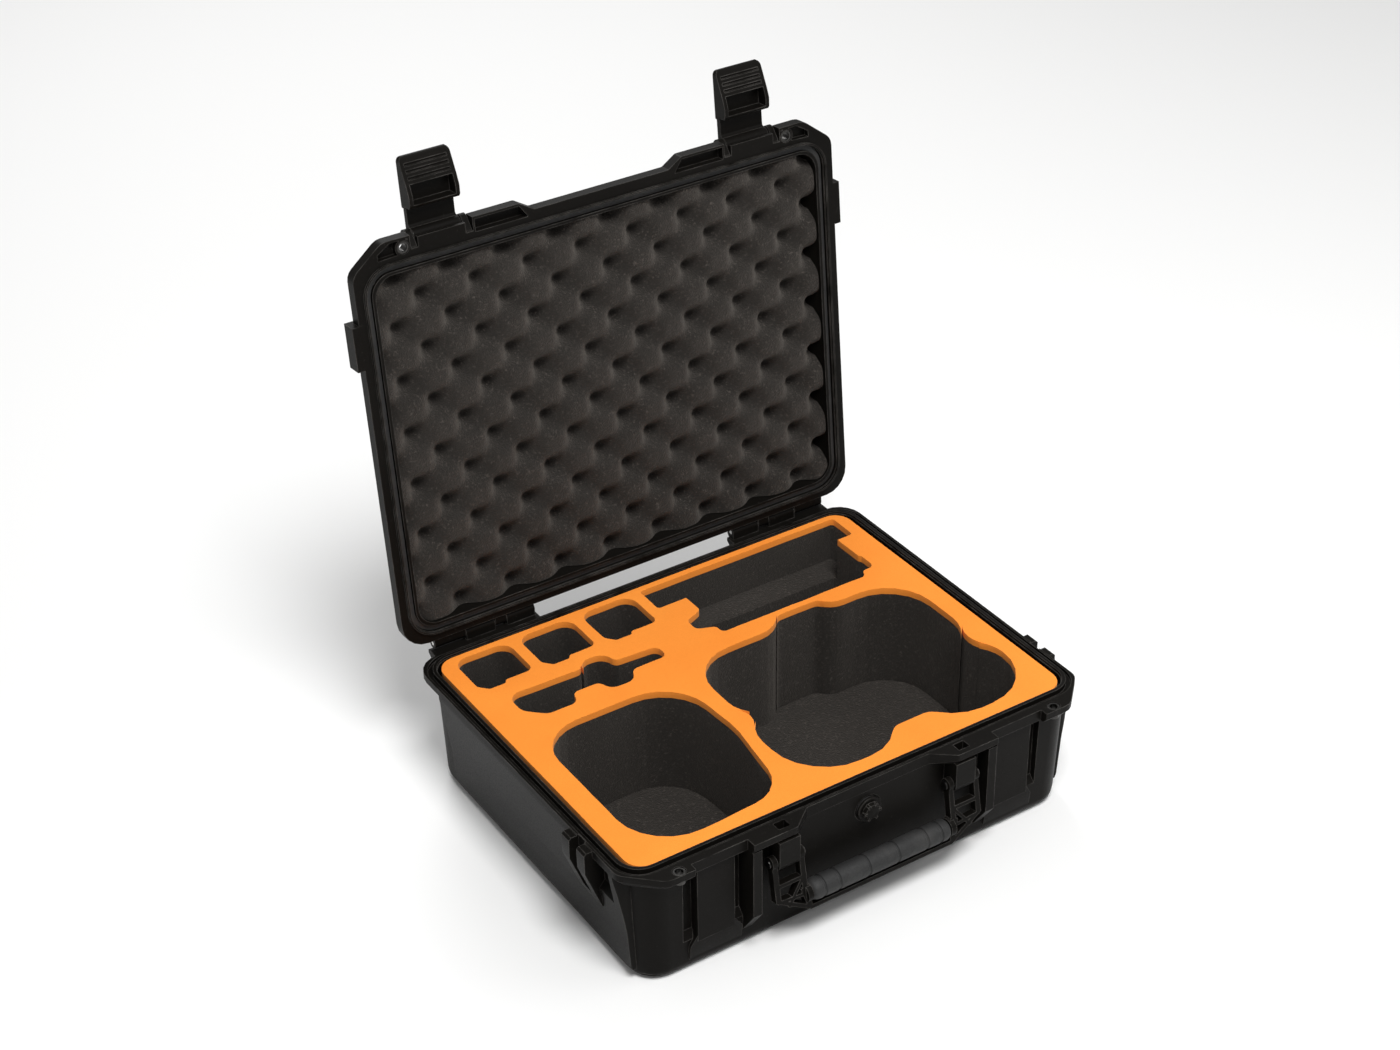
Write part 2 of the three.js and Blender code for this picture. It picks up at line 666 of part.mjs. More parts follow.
function lidBand() {
  const outline = bothHalves([
    [62, -LID_FRONT, 3],
    [75, LID_BOSS, 4],
    [195, LID_BOSS, 12],
    [LID_X, -160, 12],
    [LID_X, LID_BACK, 22],
  ]);
  return prism(outline, "z", LID_RIM, LID_RIM + BAND);
}

function lidBody() {
  return loft([
    { outline: plate(LID_WALL), z: LID_RIM + 2 },
    { outline: plate(LID_WALL), z: LID_RIM + BAND + 2 },
    { outline: plate(LID_CREST), z: LID_TOP - 5 },
    { outline: plate(grown(LID_CREST, -3.5)), z: LID_TOP - 1 },
    { outline: plate(grown(LID_CREST, -7.5)), z: LID_TOP },
  ]);
}

function lidInside() {
  const narrow = { x: 195, y: 146, r: 13 };
  return loft([
    { outline: plate(LID_INSIDE), z: LID_RIM - 1 },
    { outline: plate(LID_INSIDE), z: LID_RIM + BAND + 2 },
    { outline: plate(narrow), z: LID_TOP - WALL - 1.3 },
    { outline: plate(grown(narrow, -2)), z: LID_TOP - WALL },
  ]);
}

// Raised bars that stiffen the top of the lid.
function lidBars() {
  const foot = { x: 18, y: 112, r: 6 };
  const crest = { x: 16, y: 110, r: 5 };
  const levels = [
    { outline: plate(foot, 3), z: LID_TOP - 1 },
    { outline: plate(foot, 3), z: LID_TOP },
    { outline: plate(crest, 3), z: LID_TOP + 2 },
  ];
  return [-116, -58, 0, 58, 116].map((x) => loft(levels).translate(x, 0, 0));
}

function latchEars(side) {
  return LATCH_EARS.map(([from, to]) => {
    const reach = [side * LATCH_X + from, side * LATCH_X + to];
    const arm = [
      [-166, LID_RIM + 1],
      [-170.5, LID_RIM + 1],
      [LATCH_Y - 2, LATCH_Z - 5.6],
      [LATCH_Y - 6, LATCH_Z],
      [LATCH_Y + 2, LATCH_Z + 5.6],
      [-160, LATCH_Z + 7],
      [-160, LID_RIM + BAND - 1],
    ];
    return union(prism(arm, "x", ...reach), bar("x", LATCH_Y, LATCH_Z, 6, ...reach));
  });
}

// The lid's band is cut back round a latch: far enough for its ears, less in front of its strap.
function latchRoom(side) {
  const strap = [
    [-200, LID_RIM - 1],
    [LATCH_Y + STRAP[1] + 0.6, LID_RIM - 1],
    [LATCH_Y + STRAP[1] + 0.6, LID_RIM + 2.6],
    [LATCH_Y - 0.6, LID_RIM + 5.4],
    [LATCH_Y + 6.4, LID_RIM + 5.4],
    [LATCH_Y + 6.4, RIM + 60],
    [-200, RIM + 60],
  ];
  const middle = side * LATCH_X;
  const ears = LATCH_EARS.map(([from, to]) =>
    box(middle + from - 0.6, middle + to + 0.6, -200, -169.6, LID_RIM - 1, RIM + 60),
  );
  return [prism(strap, "x", middle - 22, middle + 22), ...ears];
}

function lidKnuckles(side) {
  return [1, 3].map((i) => {
    const reach = span(side, KNUCKLES[i] + FIT / 2, KNUCKLES[i + 1] - FIT / 2);
    const arm = [
      [LID_BACK - 2.5, LID_RIM + 1],
      [HINGE_Y, HINGE_Z - HINGE_R],
      [HINGE_Y, HINGE_Z + HINGE_R],
      [LID_BACK - 2.5, LID_RIM + BAND],
    ];
    return union(prism(arm, "x", ...reach), bar("x", HINGE_Y, HINGE_Z, HINGE_R, ...reach));
  });
}

// Room for the base's knuckles behind the lid's rim band.
function knuckleRoom(side) {
  return [0, 2].map((i) => {
    const reach = span(side, KNUCKLES[i] - FIT / 2, KNUCKLES[i + 1] + FIT / 2);
    return bar("x", HINGE_Y, HINGE_Z, HINGE_R + FIT, ...reach);
  });
}

// The band is hollow from below over the handle, and round the padlock hole at each corner.
function bandHollows(side) {
  const boss = [[68, -168.5], [75, -178.8], [114.6, -178.8], [114.6, -168.5]];
  const corner = [[172.6, -168.2], [172.6, -178.8], [188, -178.8], [199, -172], [199, -167]];
  const hollow = (outline, depth) =>
    prism(side > 0 ? outline : mirrored(outline), "z", LID_RIM - 1, LID_RIM + depth);
  const socket = bar("z", side * PADLOCK.x, PADLOCK.y, PADLOCK.r + 1.6, LID_RIM - 2, LID_RIM + BAND);
  return [hollow(boss, 7), cut(hollow(corner, 5), socket)];
}

function lidTab(side) {
  return box(...span(side, LID_X - 3, LID_X + 6), -120, -83, LID_RIM, LID_RIM + 14);
}

function lidShell() {
  const acrossLatch = (side) => [side * LATCH_X - 40, side * LATCH_X + 40];
  const pinHole = (side) =>
    bar("x", LATCH_Y, LATCH_Z, LATCH_PIN_R + PIN_CLEARANCE, ...acrossLatch(side), 16);
  const padlock = (side) =>
    bar("z", side * PADLOCK.x, PADLOCK.y, PADLOCK.r, LID_RIM - 1, LID_RIM + 40);
  return cut(
    union(
      cut(union(lidBand(), lidBody()), ...bothSides(latchRoom).flat()),
      ring(LIP[1], LIP[0], LID_RIM - LIP_DEPTH, LID_RIM + 1),
      ...lidBars(),
      ...bothSides(latchEars).flat(),
      ...bothSides(lidKnuckles).flat(),
      ...bothSides(lidTab),
    ),
    lidInside(),
    ring(CHANNEL[1], CHANNEL[0], LID_RIM - 1, LID_RIM + CHANNEL_DEPTH),
    ...bothSides(knuckleRoom).flat(),
    ...bothSides(bandHollows).flat(),
    ...bothSides(pinHole),
    ...bothSides(padlock),
    bar("x", HINGE_Y, HINGE_Z, HINGE_PIN_R + PIN_CLEARANCE, -200, 200, 16),
  );
}

function lidGasket() {
  const top = LID_RIM + CHANNEL_DEPTH - GAP;
  return ring(grown(CHANNEL[1], -GAP), grown(CHANNEL[0], GAP), top - GASKET, top);
}

function lidFoam() {
  const wide = plate(grown(LID_INSIDE, -0.6), 5);
  const narrow = plate({ x: 194.2, y: 145.2, r: 12 }, 5);
  return loft([
    { outline: wide, z: LID_RIM + 8 },
    { outline: wide, z: LID_RIM + BAND + 1.6 },
    { outline: narrow, z: LID_TOP - WALL - 1.6 },
  ]);
}

// ---- Latch --------------------------------------------------------------------------------
// Modelled fastened, about its pin line: the strap hangs down, its hook turned to the case.
const HOOK_TOP = -22.6; // the catching bar bears under the base's rim band
const HOOK_BAR = 3.2;
const HOOK_REACH = 7.2;
const CHEEK = 3.4;
const TIP = -62.5; // the end that a finger lifts

function latch() {
  const half = LATCH_WIDTH / 2;
  const [front, back] = STRAP;
  const strap = [
    [front, 2, 3],
    [-3, 5.2, 3],
    [3, 5.2, 2],
    [5, 0, 3],
    [back, -7, 2],
    [back, HOOK_TOP - 2],
    [front, HOOK_TOP - 2],
  ];
  const head = [
    [front, HOOK_TOP + 2],
    [back, HOOK_TOP + 2, 0.6],
    [back, HOOK_TOP],
    [HOOK_REACH - 2, HOOK_TOP, 1],
    [HOOK_REACH, HOOK_TOP - 2.4, 1.4],
    [HOOK_REACH + 0.4, HOOK_TOP - 10, 3],
    [5.2, -40, 4],
    [-3.6, TIP + 1, 1.6],
    [front, TIP, 1.6],
  ];
  const top = HOOK_TOP + 3;
  const outline = rounded([[-half, top, 2], [half, top, 2], [half, TIP, 5], [-half, TIP, 5]]);
  const windowTop = HOOK_TOP - HOOK_BAR;
  const window = box(-half + CHEEK, half - CHEEK, back, 30, -41.5, windowTop);
  const slope = (z) => 5.2 - (8.8 * (-40 - z)) / (-41 - TIP); // the face that a finger pulls
  const grooves = [-45.6, -50.6, -55.6].map((z) =>
    box(-half + 3.6, half - 3.6, slope(z) - 1.3, slope(z) + 6, z - 1.1, z + 1.1),
  );
  const block = prism(rounded(head, 3), "x", -half, half);
  return cut(
    union(
      prism(rounded(strap, 3), "x", -STRAP_WIDTH / 2, STRAP_WIDTH / 2),
      bar("x", 0, 0, 5.4, -STRAP_WIDTH / 2, STRAP_WIDTH / 2),
      cut(block.intersect(prism(outline, "y", -20, 20)), window),
    ),
    ...grooves,
    bar("x", 0, 0, LATCH_PIN_R + PIN_CLEARANCE, -40, 40, 16),
  );
}

// ---- Padlock eyelets ----------------------------------------------------------------------
function eyelet(side, z0, z1) {
  const outside = PADLOCK.r - GAP;
  const inside = PADLOCK.shackle;
  const profile = [[inside, z0 + GAP], [outside, z0 + GAP], [outside, z1 - GAP], [inside, z1 - GAP]];
  const closed = [...profile, profile[0]].map(([radius, z]) => new THREE.Vector2(radius, z));
  const lathe = new THREE.LatheGeometry(closed, 20).rotateX(Math.PI / 2);
  return solid(lathe.translate(side * PADLOCK.x, PADLOCK.y, 0));
}

// ---- Assembly -----------------------------------------------------------------------------
const SIDES = [[-1, "left"], [1, "right"]];

add("base_shell", baseShell(), plastic);
add("foam_bottom_pad", foamPad(), darkFoam);
add("foam_block", foamBlock(), darkFoam);
add("foam_top_sheet", foamSheet(), orangeFoam);
valve();
for (const [side, name] of SIDES) {
  const reach = span(side, KNUCKLES[0] + FIT, KNUCKLES[4] - FIT);
  add("hinge_pin_" + name, bar("x", HINGE_Y, HINGE_Z, HINGE_PIN_R, ...reach, 16), steel);
  add("base_eyelet_" + name, eyelet(side, RIM - BAND, RIM), darkSteel);
  const stack = span(side, ARMS[0][0] - FIT, ARMS[1][1] + FIT);
  add("handle_pin_" + name, pin(PIVOT_Y, PIVOT_Z, PIVOT_PIN_R, ...stack, 1.4, 3.6), darkSteel);
}

const handle = new THREE.Group();
handle.position.set(0, PIVOT_Y, PIVOT_Z);
handle.rotation.x = THREE.MathUtils.degToRad(-HANDLE_TILT);
object.add(handle);
add("handle_frame", handleFrame(), plastic, handle);
add("handle_grip", handleGrip(), rubber, handle);

const lidTurn = new THREE.Group();
lidTurn.position.set(0, HINGE_Y, HINGE_Z);
lidTurn.rotation.x = THREE.MathUtils.degToRad(-OPEN_ANGLE);
object.add(lidTurn);
const lid = new THREE.Group();
lid.position.set(0, -HINGE_Y, -HINGE_Z);
lidTurn.add(lid);
add("lid_shell", lidShell(), plastic, lid);
add("lid_gasket", lidGasket(), rubber, lid);
add("lid_foam", lidFoam(), darkFoam, lid);
for (const [side, name] of SIDES) {
  const stack = [side * LATCH_X + LATCH_EARS[0][0] + 1, side * LATCH_X + LATCH_EARS[1][1] - 1];
  add("latch_pin_" + name, bar("x", LATCH_Y, LATCH_Z, LATCH_PIN_R, ...stack, 16), steel, lid);
  add("lid_eyelet_" + name, eyelet(side, LID_RIM, LID_RIM + BAND), darkSteel, lid);
  const latchTurn = new THREE.Group();
  latchTurn.position.set(side * LATCH_X, LATCH_Y, LATCH_Z);
  latchTurn.rotation.x = THREE.MathUtils.degToRad(-LATCH_SWING);
  lid.add(latchTurn);
  add("latch_" + name, latch(), plastic, latchTurn);
}

export default object;
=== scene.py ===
# Looks for the drone carrying case: materials, softened edges, the foam inserts and the studio.
import math

import bmesh
import bpy
from mathutils import Matrix, Vector, noise


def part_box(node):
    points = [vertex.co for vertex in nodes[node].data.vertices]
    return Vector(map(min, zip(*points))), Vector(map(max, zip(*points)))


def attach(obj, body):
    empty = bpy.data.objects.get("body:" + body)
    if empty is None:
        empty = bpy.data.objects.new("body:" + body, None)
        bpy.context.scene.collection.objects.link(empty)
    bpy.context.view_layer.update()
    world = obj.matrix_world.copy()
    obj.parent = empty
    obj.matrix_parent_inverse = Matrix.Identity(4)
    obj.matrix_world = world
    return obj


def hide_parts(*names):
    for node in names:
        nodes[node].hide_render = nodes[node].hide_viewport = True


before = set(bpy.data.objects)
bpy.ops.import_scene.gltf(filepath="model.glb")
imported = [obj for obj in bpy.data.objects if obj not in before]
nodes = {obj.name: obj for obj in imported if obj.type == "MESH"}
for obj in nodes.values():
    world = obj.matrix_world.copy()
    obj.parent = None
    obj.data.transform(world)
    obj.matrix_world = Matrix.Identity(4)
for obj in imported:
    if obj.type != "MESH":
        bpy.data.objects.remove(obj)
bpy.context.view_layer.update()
scene = bpy.context.scene

# ---- Dimensions that the CAD model fixes, in metres ----------------------------------------
MM = 0.001
RIM = 111 * MM
LID_RIM = RIM + 0.4 * MM
HINGE = Vector((0, 174.5 * MM, 117 * MM))
OPEN_ANGLE = math.radians(95.5)
LID_TURN = (
    Matrix.Translation(HINGE)
    @ Matrix.Rotation(-OPEN_ANGLE, 4, "X")
    @ Matrix.Translation(-HINGE)
)


# ---- Node helpers --------------------------------------------------------------------------
class Shader:
    """A material with short helpers for its nodes. Positions are object coordinates, in metres."""

    def __init__(self, name):
        self.material = bpy.data.materials.new(name)
        self.material.use_nodes = True
        self.tree = self.material.node_tree
        self.nodes = self.tree.nodes
        self.bsdf = self.nodes["Principled BSDF"]
        self.coords = self.nodes.new("ShaderNodeTexCoord").outputs["Object"]

    def link(self, output, socket):
        self.tree.links.new(output, socket)

    def set(self, **values):
        for key, value in values.items():
            self.bsdf.inputs[key.replace("_", " ")].default_value = value

    def noise(self, size, detail=3.0, roughness=0.5, stretch=None):
        """Noise whose features are about `size` metres across, `stretch` scaling each axis."""
        node = self.nodes.new("ShaderNodeTexNoise")
        node.inputs["Scale"].default_value = 0.5 / size
        node.inputs["Detail"].default_value = detail
        node.inputs["Roughness"].default_value = roughness
        source = self.coords
        if stretch:
            mapping = self.nodes.new("ShaderNodeMapping")
            mapping.inputs["Scale"].default_value = stretch
            self.link(source, mapping.inputs["Vector"])
            source = mapping.outputs["Vector"]
        self.link(source, node.inputs["Vector"])
        return node.outputs["Fac"]

    def cells(self, size):
        """Voronoi cells about `size` metres across: the distance to each cell's middle."""
        node = self.nodes.new("ShaderNodeTexVoronoi")
        node.inputs["Scale"].default_value = 1 / size
        self.link(self.coords, node.inputs["Vector"])
        return node.outputs["Distance"]

    def spread(self, value, low, high, to_low=0.0, to_high=1.0):
        """Maps `value` from low..high to to_low..to_high, held at both ends."""
        node = self.nodes.new("ShaderNodeMapRange")
        node.inputs["From Min"].default_value = low
        node.inputs["From Max"].default_value = high
        node.inputs["To Min"].default_value = to_low
        node.inputs["To Max"].default_value = to_high
        self.link(value, node.inputs["Value"])
        return node.outputs["Result"]

    def mix(self, fac, a, b):
        """Colour `a` where `fac` is 0 and `b` where it is 1."""
        node = self.nodes.new("ShaderNodeMix")
        node.data_type = "RGBA"
        self.link(fac, node.inputs["Factor"])
        for name, value in (("A", a), ("B", b)):
            socket = [s for s in node.inputs if s.name == name and s.type == "RGBA"][0]
            if hasattr(value, "is_linked"):
                self.link(value, socket)
            else:
                socket.default_value = (*value, 1)
        return [s for s in node.outputs if s.type == "RGBA"][0]

    def math(self, operation, a, b):
        node = self.nodes.new("ShaderNodeMath")
        node.operation = operation
        for i, value in enumerate((a, b)):
            if hasattr(value, "is_linked"):
                self.link(value, node.inputs[i])
            else:
                node.inputs[i].default_value = value
        return node.outputs[0]

    def edges(self, radius):
        """1 on convex or concave edges within `radius`, 0 on flat faces."""
        flat, turned = 0.995, 0.9
        bevel = self.nodes.new("ShaderNodeBevel")
        bevel.samples = 4
        bevel.inputs["Radius"].default_value = radius
        geometry = self.nodes.new("ShaderNodeNewGeometry")
        dot = self.nodes.new("ShaderNodeVectorMath")
        dot.operation = "DOT_PRODUCT"
        self.link(bevel.outputs["Normal"], dot.inputs[0])
        self.link(geometry.outputs["Normal"], dot.inputs[1])
        return self.spread(dot.outputs["Value"], flat, turned)

    def bump(self, height, distance, strength=1.0, under=None):
        node = self.nodes.new("ShaderNodeBump")
        node.inputs["Strength"].default_value = strength
        node.inputs["Distance"].default_value = distance
        self.link(height, node.inputs["Height"])
        if under:
            self.link(under, node.inputs["Normal"])
        return node.outputs["Normal"]


# ---- Materials -----------------------------------------------------------------------------
def moulded_plastic():
    s = Shader("moulded_plastic")
    s.set(IOR=1.49, Specular_IOR_Level=0.06)
    patches = s.noise(60 * MM, 3)
    grain = s.noise(0.5 * MM, 2, 0.6)
    dark, less_dark = (0.0042, 0.0037, 0.0031), (0.0060, 0.0053, 0.0045)
    # The light edge colour below is partly rubbed plastic and partly a painted highlight on the
    # edges.
    dust, bare_and_highlit_edge = (0.017, 0.0155, 0.0138), (0.085, 0.080, 0.074)
    base = s.mix(s.spread(patches, 0.35, 0.65), dark, less_dark)
    speck = s.spread(s.noise(1.4 * MM, 4, 0.7), 0.62, 0.74)
    dusty = s.mix(speck, base, dust)
    # Painted highlight and wear: edges are lightened wherever the scuff noise is high, so almost
    # every edge carries a painted highlight as well as rubbed plastic.
    scuffs_and_edge_highlights = s.spread(s.noise(9 * MM, 5, 0.7), 0.3, 0.62)
    worn_and_highlit_edges = s.math("MULTIPLY", s.edges(1.0 * MM), scuffs_and_edge_highlights)
    s.link(s.mix(worn_and_highlit_edges, dusty, bare_and_highlit_edge), s.bsdf.inputs["Base Color"])
    s.link(s.spread(grain, 0.3, 0.7, 0.36, 0.5), s.bsdf.inputs["Roughness"])
    wavy = s.bump(patches, 0.3 * MM, 0.25)
    s.link(s.bump(grain, 0.05 * MM, 0.7, wavy), s.bsdf.inputs["Normal"])
    return s.material


def rubber():
    s = Shader("soft_rubber")
    s.set(IOR=1.5)
    grain = s.noise(0.8 * MM, 3, 0.6)
    dust = s.spread(s.noise(12 * MM, 5, 0.65), 0.5, 0.75)
    clean, dusty = (0.012, 0.012, 0.012), (0.028, 0.027, 0.026)
    s.link(s.mix(dust, clean, dusty), s.bsdf.inputs["Base Color"])
    s.link(s.spread(grain, 0.3, 0.7, 0.62, 0.78), s.bsdf.inputs["Roughness"])
    s.link(s.bump(grain, 0.06 * MM, 0.6), s.bsdf.inputs["Normal"])
    return s.material


def steel(name, low, high):
    """Brushed steel between the colours `low` and `high`, its lines along X."""
    s = Shader(name)
    s.set(Metallic=1.0)
    brushed = s.noise(0.35 * MM, 3, 0.6, stretch=(0.08, 1, 1))
    s.link(s.mix(brushed, low, high), s.bsdf.inputs["Base Color"])
    s.link(s.spread(brushed, 0.3, 0.7, 0.26, 0.42), s.bsdf.inputs["Roughness"])
    s.link(s.bump(brushed, 0.01 * MM, 0.5), s.bsdf.inputs["Normal"])
    return s.material


def open_cell_foam():
    s = Shader("open_cell_foam")
    s.set(Roughness=0.95, IOR=1.3, Sheen_Weight=0.25, Sheen_Roughness=0.6)
    s.bsdf.inputs["Sheen Tint"].default_value = (0.5, 0.45, 0.4, 1)
    pores = s.cells(1.1 * MM)
    fine = s.noise(1.2 * MM, 5, 0.75)
    clouds = s.spread(s.noise(25 * MM, 3), 0.35, 0.65)
    # The pore colour is painted shade: the middle of each cell is darkened to stand in for the
    # shade inside a pore hole.
    pore_shade, glint = (0.007, 0.0062, 0.0055), (0.066, 0.057, 0.050)
    walls = s.mix(clouds, (0.0138, 0.0119, 0.0102), (0.0188, 0.0163, 0.0142))
    walls_and_pore_shade = s.mix(s.spread(pores, 0.15, 0.65), pore_shade, walls)
    glints = s.spread(fine, 0.56, 0.68)
    s.link(s.mix(glints, walls_and_pore_shade, glint), s.bsdf.inputs["Base Color"])
    rough = s.bump(fine, 0.7 * MM, 0.8)
    s.link(s.bump(pores, 0.6 * MM, 0.8, rough), s.bsdf.inputs["Normal"])
    return s.material


def closed_cell_foam():
    s = Shader("closed_cell_foam")
    s.set(Roughness=0.85, IOR=1.35, Sheen_Weight=0.2, Sheen_Roughness=0.5)
    s.bsdf.inputs["Sheen Tint"].default_value = (1.0, 0.7, 0.4, 1)
    cells = s.cells(0.7 * MM)
    skin = s.noise(1.6 * MM, 4, 0.6)
    clouds = s.spread(s.noise(40 * MM, 4), 0.3, 0.7)
    # Painted shade: the middle of each cell is a darker orange, standing in for the shade inside
    # the small cell pits.
    cell_pit_shade = (0.78, 0.215, 0.018)
    even = s.mix(clouds, (0.90, 0.262, 0.026), (0.94, 0.30, 0.034))
    clouds_and_pit_shade = s.mix(s.spread(cells, 0.05, 0.5), cell_pit_shade, even)
    s.link(clouds_and_pit_shade, s.bsdf.inputs["Base Color"])
    soft = s.bump(skin, 0.25 * MM, 0.5)
    s.link(s.bump(cells, 0.12 * MM, 0.5, soft), s.bsdf.inputs["Normal"])
    return s.material


PLASTIC = moulded_plastic()
RUBBER = rubber()
STEEL = steel("satin_steel", (0.46, 0.455, 0.44), (0.62, 0.615, 0.6))
BLACK_STEEL = steel("blackened_steel", (0.04, 0.039, 0.037), (0.075, 0.072, 0.069))
DARK_FOAM = open_cell_foam()
ORANGE_FOAM = closed_cell_foam()


# ---- CAD nodes that stay -------------------------------------------------------------------
SMOOTH_BELOW = math.radians(32)
BEVEL_ABOVE = math.radians(34)
FLAT_WITHIN = math.radians(0.6)
WELD_DISTANCE = 0.01 * MM


def smooth_by_angle():
    """A modifier tree that smooths faces and keeps edges above SMOOTH_BELOW sharp."""
    tree = bpy.data.node_groups.new("smooth_by_angle", "GeometryNodeTree")
    tree.interface.new_socket("Geometry", in_out="INPUT", socket_type="NodeSocketGeometry")
    tree.interface.new_socket("Geometry", in_out="OUTPUT", socket_type="NodeSocketGeometry")
    start = tree.nodes.new("NodeGroupInput")
    end = tree.nodes.new("NodeGroupOutput")
    angle = tree.nodes.new("GeometryNodeInputMeshEdgeAngle")
    compare = tree.nodes.new("FunctionNodeCompare")
    compare.operation = "LESS_EQUAL"
    compare.inputs[1].default_value = SMOOTH_BELOW
    clean = tree.nodes.new("GeometryNodeRemoveAttribute")
    clean.inputs["Name"].default_value = "custom_normal"
    faces = tree.nodes.new("GeometryNodeSetShadeSmooth")
    faces.domain = "FACE"
    edges = tree.nodes.new("GeometryNodeSetShadeSmooth")
    edges.domain = "EDGE"
    link = tree.links.new
    link(start.outputs[0], clean.inputs["Geometry"])
    link(clean.outputs["Geometry"], faces.inputs["Geometry"])
    link(faces.outputs["Geometry"], edges.inputs["Geometry"])
    link(angle.outputs["Unsigned Angle"], compare.inputs[0])
    link(compare.outputs["Result"], edges.inputs["Shade Smooth"])
    link(edges.outputs["Geometry"], end.inputs[0])
    return tree


SMOOTH = smooth_by_angle()


def dress(name, material, bevel):
    """Gives a CAD node its material and rounds its edges by `bevel` metres."""
    node = nodes[name]
    node.data.materials.clear()
    node.data.materials.append(material)
    weld = node.modifiers.new("weld", "WELD")
    weld.merge_threshold = WELD_DISTANCE
    flat = node.modifiers.new("flat", "DECIMATE")
    flat.decimate_type = "DISSOLVE"
    flat.angle_limit = FLAT_WITHIN
    if bevel:
        soft = node.modifiers.new("bevel", "BEVEL")
        soft.width = bevel
        soft.segments = 2
        soft.limit_method = "ANGLE"
        soft.angle_limit = BEVEL_ABOVE
        soft.use_clamp_overlap = True
    smooth = node.modifiers.new("smooth", "NODES")
    smooth.node_group = SMOOTH
    normals = node.modifiers.new("normals", "WEIGHTED_NORMAL")
    normals.keep_sharp = True


for name, bevel in (
    ("base_shell", 0.7 * MM),
    ("lid_shell", 0.7 * MM),
    ("latch_left", 0.7 * MM),
    ("latch_right", 0.7 * MM),
    ("handle_frame", 0.6 * MM),
    ("valve_collar", 0.3 * MM),
    ("valve_knob", 0.3 * MM),
    ("valve_nut", 0.3 * MM),
):
    dress(name, PLASTIC, bevel)
dress("handle_grip", RUBBER, 0.3 * MM)
dress("valve_seal", RUBBER, 0)
dress("lid_gasket", RUBBER, 0.2 * MM)
for side in ("left", "right"):
    dress("hinge_pin_" + side, STEEL, 0.2 * MM)
    dress("handle_pin_" + side, BLACK_STEEL, 0.4 * MM)
    dress("latch_pin_" + side, STEEL, 0.2 * MM)
    dress("base_eyelet_" + side, BLACK_STEEL, 0.3 * MM)
    dress("lid_eyelet_" + side, BLACK_STEEL, 0.3 * MM)


# ---- Foam ----------------------------------------------------------------------------------
# Without a seed, noise_vector is shifted by the clock, and no two runs give the same foam.
NOISE_SEED = 1
noise.seed_set(NOISE_SEED)


def piece(name, mesh, material, body, replaced):
    """A foam piece that rides on `body` and takes the place of the CAD node `replaced`."""
    obj = bpy.data.objects.new(name, mesh)
    scene.collection.objects.link(obj)
    mesh.materials.clear()
    mesh.materials.append(material)
    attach(obj, body)
    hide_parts(replaced)


def die_cut(name, node, material, edge, wave):
    """The CAD outline of `node` with cut edges `edge` wide and faces uneven by up to `wave`."""
    cut_angle, sharp_angle = 0.9, math.radians(50)
    longest, waves_per_metre = 9 * MM, 45
    mesh = nodes[node].data.copy()
    mesh.name = name
    bm = bmesh.new()
    bm.from_mesh(mesh)
    bmesh.ops.remove_doubles(bm, verts=bm.verts, dist=WELD_DISTANCE)
    bmesh.ops.dissolve_limit(
        bm, angle_limit=FLAT_WITHIN, verts=bm.verts, edges=bm.edges, delimit=set()
    )
    sharp = [
        e for e in bm.edges if len(e.link_faces) == 2 and e.calc_face_angle() > cut_angle
    ]
    bmesh.ops.bevel(
        bm, geom=sharp, offset=edge, segments=3, profile=0.6, affect="EDGES", clamp_overlap=True
    )
    bmesh.ops.triangulate(bm, faces=bm.faces)
    for _ in range(3):
        long_edges = [e for e in bm.edges if e.calc_length() > longest]
        bmesh.ops.subdivide_edges(bm, edges=long_edges, cuts=1)
        bmesh.ops.triangulate(bm, faces=bm.faces)
    for v in bm.verts:
        v.co += noise.noise_vector(v.co * waves_per_metre) * wave
    for face in bm.faces:
        face.smooth = True
    bm.to_mesh(mesh)
    bm.free()
    if "custom_normal" in mesh.attributes:
        mesh.attributes.remove(mesh.attributes["custom_normal"])
    mesh.set_sharp_from_angle(angle=sharp_angle)
    piece(name, mesh, material, "base", node)


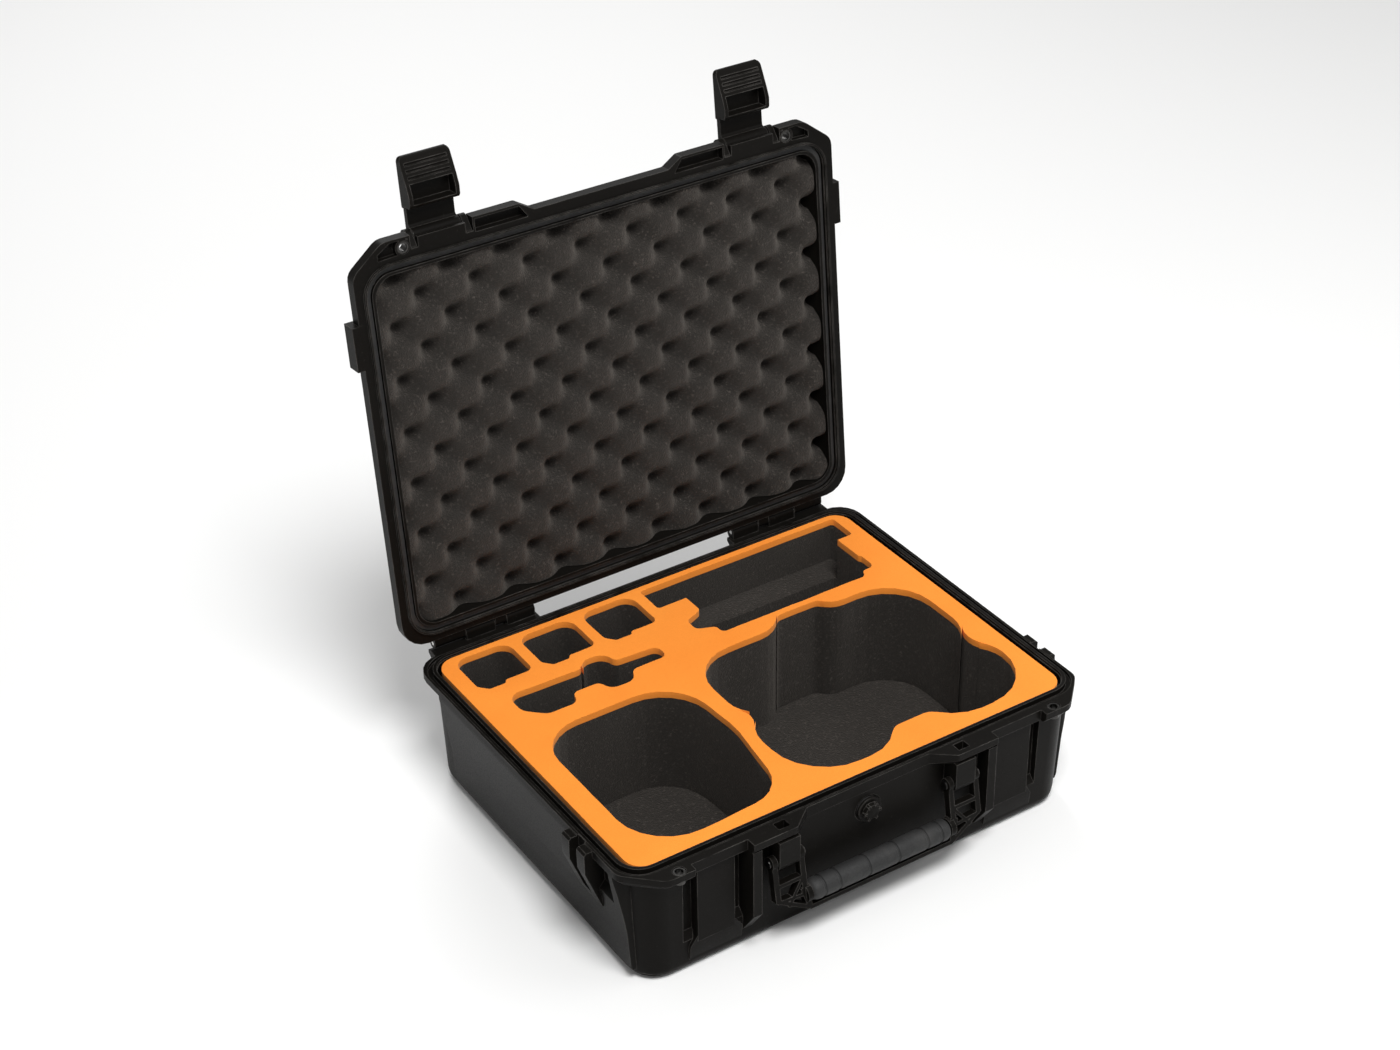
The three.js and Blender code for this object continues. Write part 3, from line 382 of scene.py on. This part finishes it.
def egg_crate():
    """The convoluted foam in the lid: rows of rounded peaks, each row shifted by half a pitch.

    It is shaped as if the lid were shut, its peaks facing down, and then turned with the lid.
    """
    half_x, half_y = 204.2 * MM, 152.6 * MM
    pitch_x, pitch_y = 48.3 * MM, 45.3 * MM
    valley_x, valley_y = -185 * MM, -148.8 * MM
    crest, hollow = LID_RIM + 2.2 * MM, LID_RIM + 20 * MM
    valley_narrowness = 2.4
    unevenness, uneven_per_metre = 0.5 * MM, 60
    side_bottom, side_least = LID_RIM + 12.4 * MM, 0.6 * MM
    sharp_angle = math.radians(60)
    back, back_inset_x, back_inset_y = LID_RIM + 29.2 * MM, 10 * MM, 7.6 * MM
    step = 2.2 * MM
    count_x, count_y = round(2 * half_x / step), round(2 * half_y / step)
    bm = bmesh.new()
    rows = []
    for j in range(count_y + 1):
        y = -half_y + 2 * half_y * j / count_y
        row = []
        for i in range(count_x + 1):
            x = -half_x + 2 * half_x * i / count_x
            wave = math.cos(2 * math.pi * (x - valley_x) / pitch_x) * math.cos(
                2 * math.pi * (y - valley_y) / pitch_y
            )
            depth = (0.5 + 0.5 * wave) ** valley_narrowness
            jitter = noise.noise(Vector((x, y, 0)) * uneven_per_metre) * unevenness
            row.append(bm.verts.new((x, y, crest + (hollow - crest) * depth + jitter)))
        rows.append(row)
    for j in range(count_y):
        for i in range(count_x):
            bm.faces.new((rows[j][i], rows[j + 1][i], rows[j + 1][i + 1], rows[j][i + 1]))
    rim = (
        rows[0]
        + [row[-1] for row in rows[1:]]
        + rows[-1][-2::-1]
        + [row[0] for row in rows[-2:0:-1]]
    )
    above = rim
    for level, inset_x, inset_y in (
        (side_bottom, 0, 0),
        (back, back_inset_x, back_inset_y),
    ):
        scale_x, scale_y = 1 - inset_x / half_x, 1 - inset_y / half_y
        ring = [
            bm.verts.new((v.co.x * scale_x, v.co.y * scale_y, max(v.co.z + side_least, level)))
            for v in rim
        ]
        for i, v in enumerate(above):
            k = (i + 1) % len(above)
            bm.faces.new((v, above[k], ring[k], ring[i]))
        above = ring
    bm.faces.new(above)
    bmesh.ops.recalc_face_normals(bm, faces=bm.faces)
    for face in bm.faces:
        face.smooth = True
    bm.transform(LID_TURN)
    mesh = bpy.data.meshes.new("egg_crate_foam")
    bm.to_mesh(mesh)
    bm.free()
    mesh.set_sharp_from_angle(angle=sharp_angle)
    piece("egg_crate_foam", mesh, DARK_FOAM, "lid", "lid_foam")


die_cut("foam_sheet_cut", "foam_top_sheet", ORANGE_FOAM, 0.8 * MM, 0.25 * MM)
die_cut("foam_block_cut", "foam_block", DARK_FOAM, 0.8 * MM, 0.4 * MM)
die_cut("foam_pad_cut", "foam_bottom_pad", DARK_FOAM, 1.0 * MM, 0.3 * MM)
egg_crate()

# ---- Studio --------------------------------------------------------------------------------
CAMERA_AT = Vector((-0.9201, -1.3669, 1.3277))
CAMERA_TOWARDS = Vector((0.4526, 0.7055, -0.5454))
CAMERA_ROLL = math.radians(-0.97)
LENS_MM = 64.85
SENSOR_MM = 36
FLOOR_HALF = 6.0
WORLD_STRENGTH = 0.36


def add_camera():
    data = bpy.data.cameras.new("camera")
    data.lens = LENS_MM
    data.sensor_width = SENSOR_MM
    data.clip_start = 0.05
    camera = bpy.data.objects.new("camera", data)
    scene.collection.objects.link(camera)
    forward = CAMERA_TOWARDS.normalized()
    level = forward.cross(Vector((0, 0, 1))).normalized()
    up = level.cross(forward)
    right = level * math.cos(CAMERA_ROLL) + up * math.sin(CAMERA_ROLL)
    axes = Matrix((right, right.cross(forward), -forward)).transposed()
    camera.matrix_world = Matrix.Translation(CAMERA_AT) @ axes.to_4x4()
    scene.camera = camera


def area_light(name, at, aim, size, power):
    data = bpy.data.lights.new(name, "AREA")
    data.shape = "DISK"
    data.size = size
    data.energy = power
    light = bpy.data.objects.new(name, data)
    light.location = at
    light.rotation_euler = (Vector(aim) - Vector(at)).to_track_quat("-Z", "Y").to_euler()
    scene.collection.objects.link(light)


def add_floor():
    mesh = bpy.data.meshes.new("floor")
    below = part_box("base_shell")[0].z
    signs = ((-1, -1), (1, -1), (1, 1), (-1, 1))
    corners = [(x * FLOOR_HALF, y * FLOOR_HALF, below) for x, y in signs]
    mesh.from_pydata(corners, [], [(0, 1, 2, 3)])
    floor = bpy.data.objects.new("floor", mesh)
    scene.collection.objects.link(floor)
    shader = Shader("floor")
    shader.set(Roughness=0.7)
    shader.bsdf.inputs["Base Color"].default_value = (0.86, 0.86, 0.855, 1)
    mesh.materials.append(shader.material)


add_camera()
add_floor()
area_light("key", at=(-0.35, -1.2, 2.6), aim=(0, 0, 0.15), size=1.1, power=72)
area_light("fill", at=(1.9, -1.2, 1.6), aim=(0, 0, 0.15), size=1.6, power=10)
area_light("back", at=(0.6, 2.2, 2.0), aim=(0, 0.1, 0.2), size=1.4, power=26)
world = bpy.data.worlds.new("studio")
world.use_nodes = True
background = world.node_tree.nodes["Background"].inputs
background["Color"].default_value = (1, 1, 1, 1)
background["Strength"].default_value = WORLD_STRENGTH
scene.world = world
scene.view_settings.view_transform = "Standard"
